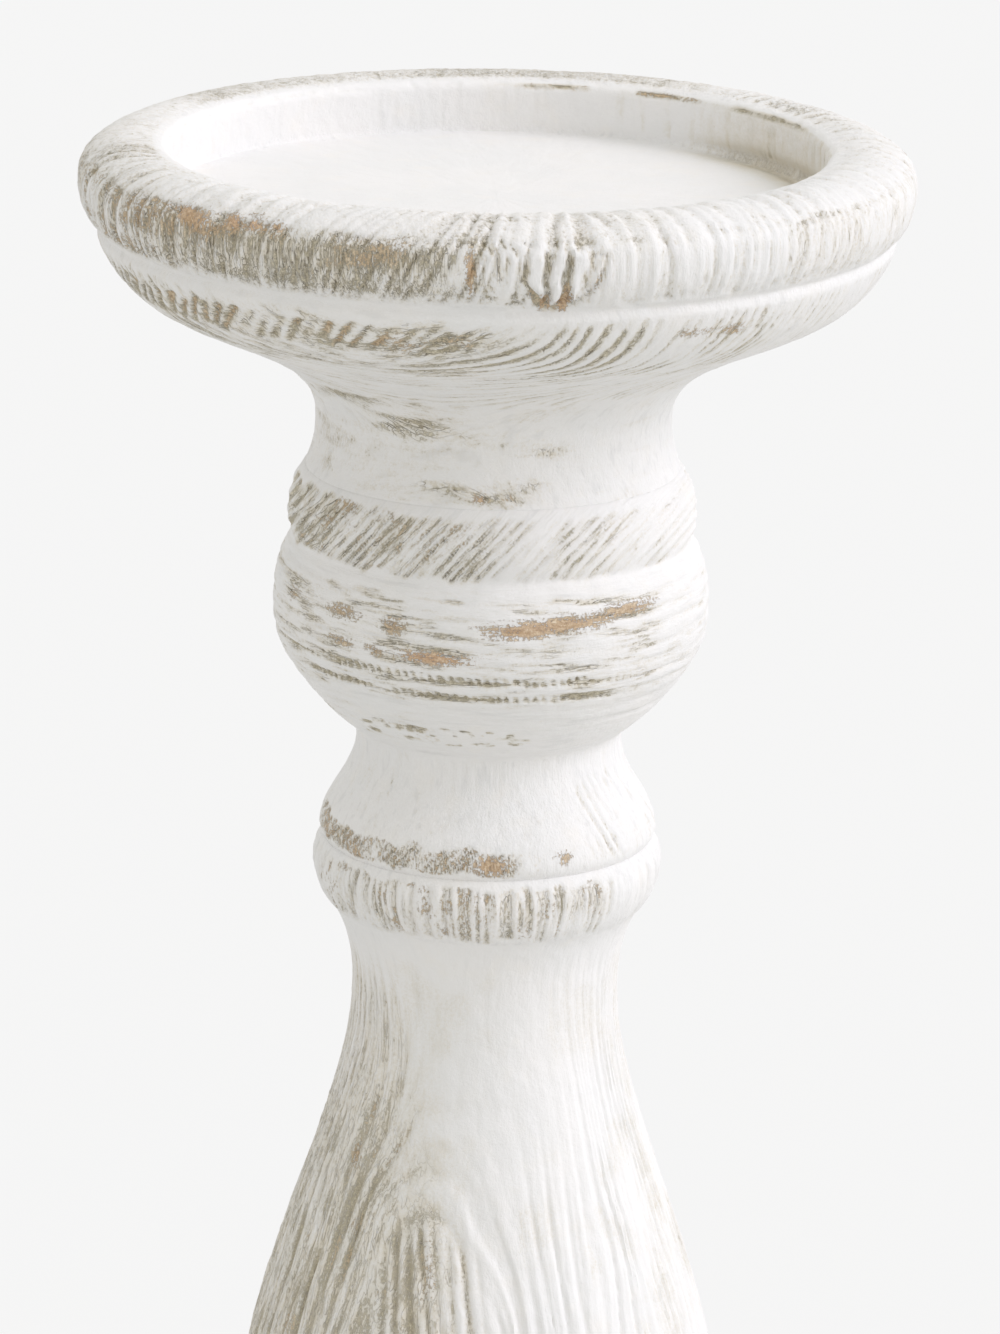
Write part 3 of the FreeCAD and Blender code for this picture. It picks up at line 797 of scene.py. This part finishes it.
class Shader:
    """A material's or a world's nodes. Inputs may be numbers, colours or other nodes' outputs."""

    def __init__(self, owner, surface="Principled BSDF"):
        owner.use_nodes = True
        self.owner = owner
        self.tree = owner.node_tree
        self.surface = self.tree.nodes[surface]

    def put(self, node, inputs):
        """Links or sets a node's inputs, given by name or index."""
        for key, value in inputs.items():
            if isinstance(value, bpy.types.NodeSocket):
                self.tree.links.new(value, node.inputs[key])
            else:
                node.inputs[key].default_value = value

    def add(self, kind, inputs, **settings):
        """A new node with its settings and inputs."""
        node = self.tree.nodes.new("ShaderNode" + kind)
        for key, value in settings.items():
            setattr(node, key, value)
        self.put(node, inputs)
        return node

    def field(self, name):
        """A number painted on the mesh."""
        return self.add("Attribute", {}, attribute_name=name).outputs["Fac"]

    def grain(self):
        """The stretched space of the streaks, in millimetres."""
        return self.add("Attribute", {}, attribute_name="grain").outputs["Vector"]

    def place(self, scale=(1, 1, 1)):
        """Object space in millimetres, stretched by the scale."""
        there = self.add("TexCoord", {}).outputs["Object"]
        wanted = [s / MM for s in scale]
        return self.add("VectorMath", {0: there, 1: wanted}, operation="MULTIPLY").outputs[0]

    def noise(self, space, size, detail=2.0, rough=0.55):
        """A random field around a half, with features of about the size given in millimetres."""
        inputs = {"Vector": space, "Scale": 1 / size, "Detail": detail, "Roughness": rough}
        return self.add("TexNoise", inputs).outputs["Fac"]

    def math(self, operation, a, b):
        """One sum on two inputs."""
        return self.add("Math", {0: a, 1: b}, operation=operation).outputs[0]

    def sum(self, first, *terms):
        """first plus each (weight, field about a half) term."""
        total = first
        for weight, value in terms:
            inputs = {0: value, 1: weight, 2: -weight / 2}
            swing = self.add("Math", inputs, operation="MULTIPLY_ADD")
            total = self.math("ADD", total, swing.outputs[0])
        return total

    def step(self, low, high, value, start=0.0, end=1.0):
        """start below low, end above high, and smooth between."""
        inputs = {"Value": value, "From Min": low, "From Max": high, "To Min": start, "To Max": end}
        return self.add("MapRange", inputs, interpolation_type="SMOOTHSTEP").outputs["Result"]

    def mix(self, factor, a, b):
        """Colour a where the factor is 0 and b where it is 1."""
        first, second = ((*c, 1) if isinstance(c, tuple) else c for c in (a, b))
        return self.add("Mix", {"Factor": factor, 6: first, 7: second}, data_type="RGBA").outputs[2]

    def faded(self, field, amount):
        """The field where the amount is 1, and an even half where it is 0."""
        swing = self.math("MULTIPLY", self.math("SUBTRACT", field, 0.5), amount)
        return self.math("ADD", swing, 0.5)

    def contour(self, field, amount, reach):
        """Thin lines where the field passes a half, as wide as the amount says."""
        gap = self.math("ABSOLUTE", self.math("SUBTRACT", field, 0.5), 0.0)
        return self.step(-0.008, 0.012, self.math("SUBTRACT", self.math("MULTIPLY", amount, reach), gap))

    def tones(self, value, *stops):
        """A colour looked up between (place, colour) stops."""
        node = self.add("ValToRGB", {0: value})
        while len(node.color_ramp.elements) < len(stops):
            node.color_ramp.elements.new(0.5)
        for element, (place, colour) in zip(node.color_ramp.elements, stops):
            element.position = place
            element.color = (*colour, 1)
        return node.outputs[0]

    def bump(self, height, depth, strength=1.0):
        """A normal that reads the height, 0 to 1, as depth millimetres."""
        inputs = {"Height": height, "Distance": depth * MM, "Strength": strength}
        return self.add("Bump", inputs).outputs["Normal"]

    def finish(self, **inputs):
        """Sets the surface's own sockets and returns the material."""
        self.put(self.surface, {key.replace("_", " "): value for key, value in inputs.items()})
        return self.owner


def whitewash():
    """Thick warm white wash over brushed wood. The mesh says where it is dirty, where shade is painted on,
    where it is bare and how warm.
    """
    s = Shader(bpy.data.materials.new("whitewashed_wood"))
    grain = s.grain()
    space = s.place()
    dirt, bare, warm, hairy = (s.field(name) for name in WEAR_AND_SHADE)
    hair = s.faded(s.noise(grain, 0.34, detail=3.0, rough=0.7), hairy)
    strand = s.noise(grain, 1.1)
    thread = s.noise(grain, 0.62, rough=0.6)
    crumb = s.noise(space, 0.46, detail=3.0, rough=0.75)
    blotch = s.noise(space, 4.5)
    cloud = s.noise(space, 16.0)

    swing = s.sum(0.0, (1.9, hair), (1.3, crumb), (0.8, strand), (0.5, blotch))
    swing = s.math("MULTIPLY", swing, s.math("MULTIPLY", s.step(0.0, 0.16, dirt), s.step(-0.6, 0.8, hairy)))
    ragged = s.math("ADD", dirt, swing)
    # The stain and grime tones colour both real dirt and the painted shade carried in dirt.
    stained_and_shaded = s.step(0.02, 0.60, s.math("ADD", dirt, s.math("MULTIPLY", swing, 0.5)))
    shown = s.math("MULTIPLY", hairy, s.step(0.12, 0.5, dirt))
    lines = s.math("MAXIMUM", s.contour(strand, dirt, 0.030), s.contour(thread, dirt, 0.026))
    dirty = s.math("MAXIMUM", s.step(0.48, 0.84, ragged), s.math("MULTIPLY", lines, shown))
    swing = s.sum(0.0, (1.9, crumb), (1.5, hair), (0.8, blotch))
    swing = s.math("MULTIPLY", swing, s.step(0.0, 0.16, bare))
    worn = s.step(0.30, 0.62, s.math("ADD", bare, swing))

    paint = s.mix(s.step(0.35, 0.65, cloud), (0.849, 0.840, 0.834), (0.827, 0.824, 0.821))
    paint = s.mix(s.step(0.5, 0.8, blotch, 0.0, 0.5), paint, (0.86, 0.835, 0.80))
    paint = s.mix(s.step(0.62, 0.38, hair, 0.0, 0.10), paint, (0.66, 0.64, 0.58))
    faint = s.math("MULTIPLY", hairy, s.step(0.54, 0.74, strand, 0.0, 0.34))
    paint = s.mix(faint, paint, (0.65, 0.65, 0.65))
    stain_and_shade = s.mix(s.step(0.4, 0.65, blotch), (0.64, 0.57, 0.43), (0.65, 0.61, 0.51))
    speckle = s.sum(0.5, (1.3, crumb), (1.1, hair))
    grime_and_shade = s.tones(
        speckle, (0.24, (0.12, 0.095, 0.06)), (0.44, (0.31, 0.268, 0.182)), (0.66, (0.52, 0.47, 0.35)),
        (0.90, (0.75, 0.70, 0.58)),
    )
    fresh = s.tones(
        speckle, (0.16, (0.22, 0.125, 0.065)), (0.42, (0.50, 0.305, 0.165)), (0.66, (0.65, 0.46, 0.29)),
        (0.92, (0.84, 0.73, 0.58)),
    )
    aged = s.tones(
        speckle, (0.18, (0.17, 0.12, 0.075)), (0.42, (0.38, 0.285, 0.18)), (0.66, (0.56, 0.46, 0.32)),
        (0.92, (0.78, 0.70, 0.57)),
    )
    wood = s.mix(warm, aged, fresh)
    coated = s.mix(s.math("MULTIPLY", stained_and_shaded, 0.70), paint, stain_and_shade)
    coated = s.mix(s.math("MULTIPLY", dirty, 0.84), coated, grime_and_shade)
    colour = s.mix(s.math("MULTIPLY", worn, 0.92), coated, wood)

    bared = s.math("MAXIMUM", dirty, worn)
    level = s.sum(0.5, (0.6, hair), (0.4, crumb))
    level = s.math("SUBTRACT", level, s.math("MULTIPLY", bared, 0.6))
    rough = s.step(0.0, 1.0, s.sum(bared, (0.5, blotch)), 0.56, 0.82)
    relief = s.bump(level, 0.22)
    return s.finish(Base_Color=colour, Roughness=rough, Normal=relief, Specular_IOR_Level=0.3)


def beech():
    """Plain pale beech with long pores and darker flecks, for the dowels."""
    s = Shader(bpy.data.materials.new("beech_dowel"))
    fibre = s.noise(s.place((1, 1, 0.06)), 0.5, detail=3.0)
    ring = s.noise(s.place((1, 1, 0.03)), 2.6)
    pore = s.step(0.60, 0.72, s.noise(s.place((1, 1, 0.12)), 0.32))
    wood = s.mix(s.step(0.3, 0.7, fibre), (0.62, 0.42, 0.24), (0.74, 0.55, 0.35))
    wood = s.mix(s.step(0.35, 0.65, ring, 0.0, 0.5), wood, (0.55, 0.35, 0.19))
    wood = s.mix(s.math("MULTIPLY", pore, 0.7), wood, (0.27, 0.15, 0.08))
    level = s.math("SUBTRACT", fibre, s.math("MULTIPLY", pore, 0.6))
    rough = s.step(0.3, 0.7, fibre, 0.55, 0.75)
    return s.finish(Base_Color=wood, Roughness=rough, Normal=s.bump(level, 0.08))


def zinc():
    """Zinc-plated steel with a faint spangle, fine scratches and darker smears."""
    s = Shader(bpy.data.materials.new("zinc_steel"))
    space = s.place()
    spangle = s.noise(space, 1.4, detail=3.0)
    smear = s.noise(space, 5.0)
    scratch = s.noise(s.place((1, 0.15, 1)), 0.25)
    colour = s.mix(s.step(0.3, 0.7, spangle), (0.56, 0.57, 0.59), (0.72, 0.73, 0.74))
    colour = s.mix(s.step(0.5, 0.75, smear, 0.0, 0.6), colour, (0.47, 0.45, 0.40))
    rough = s.step(0.25, 0.75, s.sum(0.5, (0.6, smear), (0.6, scratch)), 0.24, 0.46)
    return s.finish(Base_Color=colour, Metallic=1.0, Roughness=rough, Normal=s.bump(scratch, 0.02, 0.6))


def felt():
    """Matted brown wool felt with pale and dark fibres."""
    s = Shader(bpy.data.materials.new("felt"))
    space = s.place()
    mat = s.noise(space, 0.9, detail=4.0, rough=0.7)
    fibre = s.noise(s.place((1, 0.22, 1)), 0.22, detail=3.0)
    cross = s.noise(s.place((0.22, 1, 1)), 0.22, detail=3.0)
    hairs = s.math("MAXIMUM", fibre, cross)
    colour = s.mix(s.step(0.35, 0.65, mat), (0.105, 0.075, 0.052), (0.17, 0.125, 0.09))
    colour = s.mix(s.step(0.60, 0.72, hairs, 0.0, 0.7), colour, (0.27, 0.22, 0.17))
    return s.finish(Base_Color=colour, Roughness=0.95, Sheen_Weight=0.35, Normal=s.bump(hairs, 0.25))


# -------- the turned blocks

# Node, corner to round with its radius, and the looks of its parts from the top down
BLOCKS = (
    (
        "candle_dish", ((RECESS_RADIUS, RECESS_FLOOR), 0.7),
        (dress_rim, dress_knot, dress_bowl, dress_cove, dress_recess),
    ),
    ("upper_stem", None, (dress_collar, dress_bulb, dress_cushion)),
    ("baluster", None, (dress_ring, dress_baluster)),
    ("base", None, (dress_base,)),
)

wash = whitewash()
seeds = itertools.count(100, 100)
for number, (node, fillet, looks) in enumerate(BLOCKS):
    skin = Skin(node, fillet)
    for dress in looks:
        dress(skin, next(seeds))
    greyed_left_and_patches(skin, 1900 + number)
    lumpy(skin, 2000 + 100 * number)
    piece = wood_piece(skin, wash)
    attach(piece, "root")
    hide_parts(node)


# -------- hardware and pads

def coat(node, material):
    """Gives a CAD node that stays its material."""
    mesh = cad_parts[node].data
    mesh.materials.clear()
    mesh.materials.append(material)


dowel_wood = beech()
plated = zinc()
for node in ("dish_dowel", "stem_dowel"):
    coat(node, dowel_wood)
for node in ("base_screw", "screw_washer"):
    coat(node, plated)


def felt_pad(node, material, seed):
    """A round pad of felt with a matted face and soft, slightly uneven cut edges."""
    low, high = (np.array(c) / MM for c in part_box(node))
    centre = (low + high) / 2
    radius = (high[0] - low[0]) / 2
    thickness = high[2] - low[2]
    rings, columns, soft = 22, 96, 0.45
    outline = [(0, high[2])]
    outline += [(radius * k / rings, high[2]) for k in range(1, rings)]
    outline += [(radius, high[2] - soft * 0.3), (radius, high[2] - thickness * 0.5), (radius, low[2] + soft)]
    outline += [(radius - soft * 0.4, low[2] + soft * 0.3)]
    outline += [((radius - soft) * k / rings, low[2]) for k in range(rings, 0, -1)]
    outline += [(0, low[2])]
    outline = np.array(outline)
    angle = np.arange(columns) / columns * math.tau
    r = outline[:, :1] + 0 * angle
    z = outline[:, 1:] + 0 * angle
    x = r * np.sin(angle)
    y = -r * np.cos(angle)
    rough = fractal([x / 0.8, y / 0.8, z / 0.8], seed)
    edge = ramp(radius - 1.5, radius, r)
    shrink = 1 - edge * (0.012 + 0.012 * rough)
    z = np.clip(z + (0.10 * rough + 0.05) * (z < low[2] + 0.2), low[2], high[2])
    grid = [x * shrink + centre[0], y * shrink + centre[1], z]
    piece = turned_object(node + "_felt", grid, False, material, 75)
    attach(piece, "root")
    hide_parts(node)


wool = felt()
for number in range(1, 5):
    felt_pad(f"felt_pad_{number}", wool, 3000 + number)


# -------- light, floor and camera

# Radiance of the surroundings: even light plus a lean towards the right and the top
SKY_LIGHT = 0.835
SKY_LEAN = (0.08, 0.03, 0.08)
SKY_TINT = (1.0, 0.993, 0.965)
SKY_SEEN = (0.925, 0.925, 0.925)
FLOOR_GLOW = 0.75
FLOOR_SIZE = 8.0
KEY_FROM = (0.84, -0.12, 0.53)
KEY_STRENGTH = 1.32
KEY_COLOUR = (1.0, 0.985, 1.10)
KEY_SPREAD_DEG = 32


def studio_floor():
    """A wide pale floor that mostly glows evenly, so that only soft contact shadows show."""
    s = Shader(bpy.data.materials.new("studio_floor"))
    s.tree.nodes.remove(s.surface)
    glow = s.add("Emission", {"Color": (1, 1, 1, 1), "Strength": FLOOR_GLOW}).outputs[0]
    tint = s.mix(s.noise(s.place(), 900.0), (0.150, 0.151, 0.150), (0.155, 0.155, 0.153))
    matt = s.add("BsdfDiffuse", {"Color": tint}).outputs[0]
    both = s.add("AddShader", {0: glow, 1: matt}).outputs[0]
    s.put(s.tree.nodes["Material Output"], {"Surface": both})
    bm = bmesh.new()
    bmesh.ops.create_grid(bm, x_segments=8, y_segments=8, size=FLOOR_SIZE)
    mesh = bpy.data.meshes.new("floor")
    bm.to_mesh(mesh)
    bm.free()
    mesh.materials.append(s.owner)
    floor = placed("floor", mesh)
    floor.visible_diffuse = False
    floor.visible_shadow = False


def studio_world():
    """Soft pale surroundings, lighter on the right and above, and even to the camera."""
    s = Shader(bpy.data.worlds.new("studio"), "Background")
    there = s.add("TexCoord", {}).outputs["Generated"]
    lean = s.add("VectorMath", {0: there, 1: SKY_LEAN}, operation="DOT_PRODUCT").outputs["Value"]
    light = s.math("ADD", lean, SKY_LIGHT)
    tint = s.add("VectorMath", {0: SKY_TINT, "Scale": light}, operation="SCALE").outputs["Vector"]
    seen = s.add("LightPath", {}).outputs["Is Camera Ray"]
    s.put(s.surface, {"Color": s.mix(seen, tint, SKY_SEEN)})
    bpy.context.scene.world = s.owner


def key_light():
    """A large soft source far off to the right and above."""
    data = bpy.data.lights.new("key", "SUN")
    data.energy = KEY_STRENGTH
    data.color = KEY_COLOUR
    data.angle = math.radians(KEY_SPREAD_DEG)
    lamp = placed("key", data)
    lamp.rotation_euler = (-Vector(KEY_FROM)).to_track_quat("-Z", "Y").to_euler()


def look_through_camera():
    """The camera at the photograph's place and angle."""
    data = bpy.data.cameras.new("camera")
    data.lens = CAMERA_LENS
    data.clip_end = 30
    camera = placed("camera", data)
    tilt = Matrix.Rotation(math.radians(90 - CAMERA_PITCH_DEG), 4, "X")
    roll = Matrix.Rotation(math.radians(CAMERA_ROLL_DEG), 4, "Z")
    camera.matrix_world = Matrix.Translation(Vector(CAMERA_PLACE) * MM) @ tilt @ roll
    bpy.context.scene.camera = camera


studio_floor()
studio_world()
key_light()
look_through_camera()
bpy.context.scene.view_settings.view_transform = "Standard"
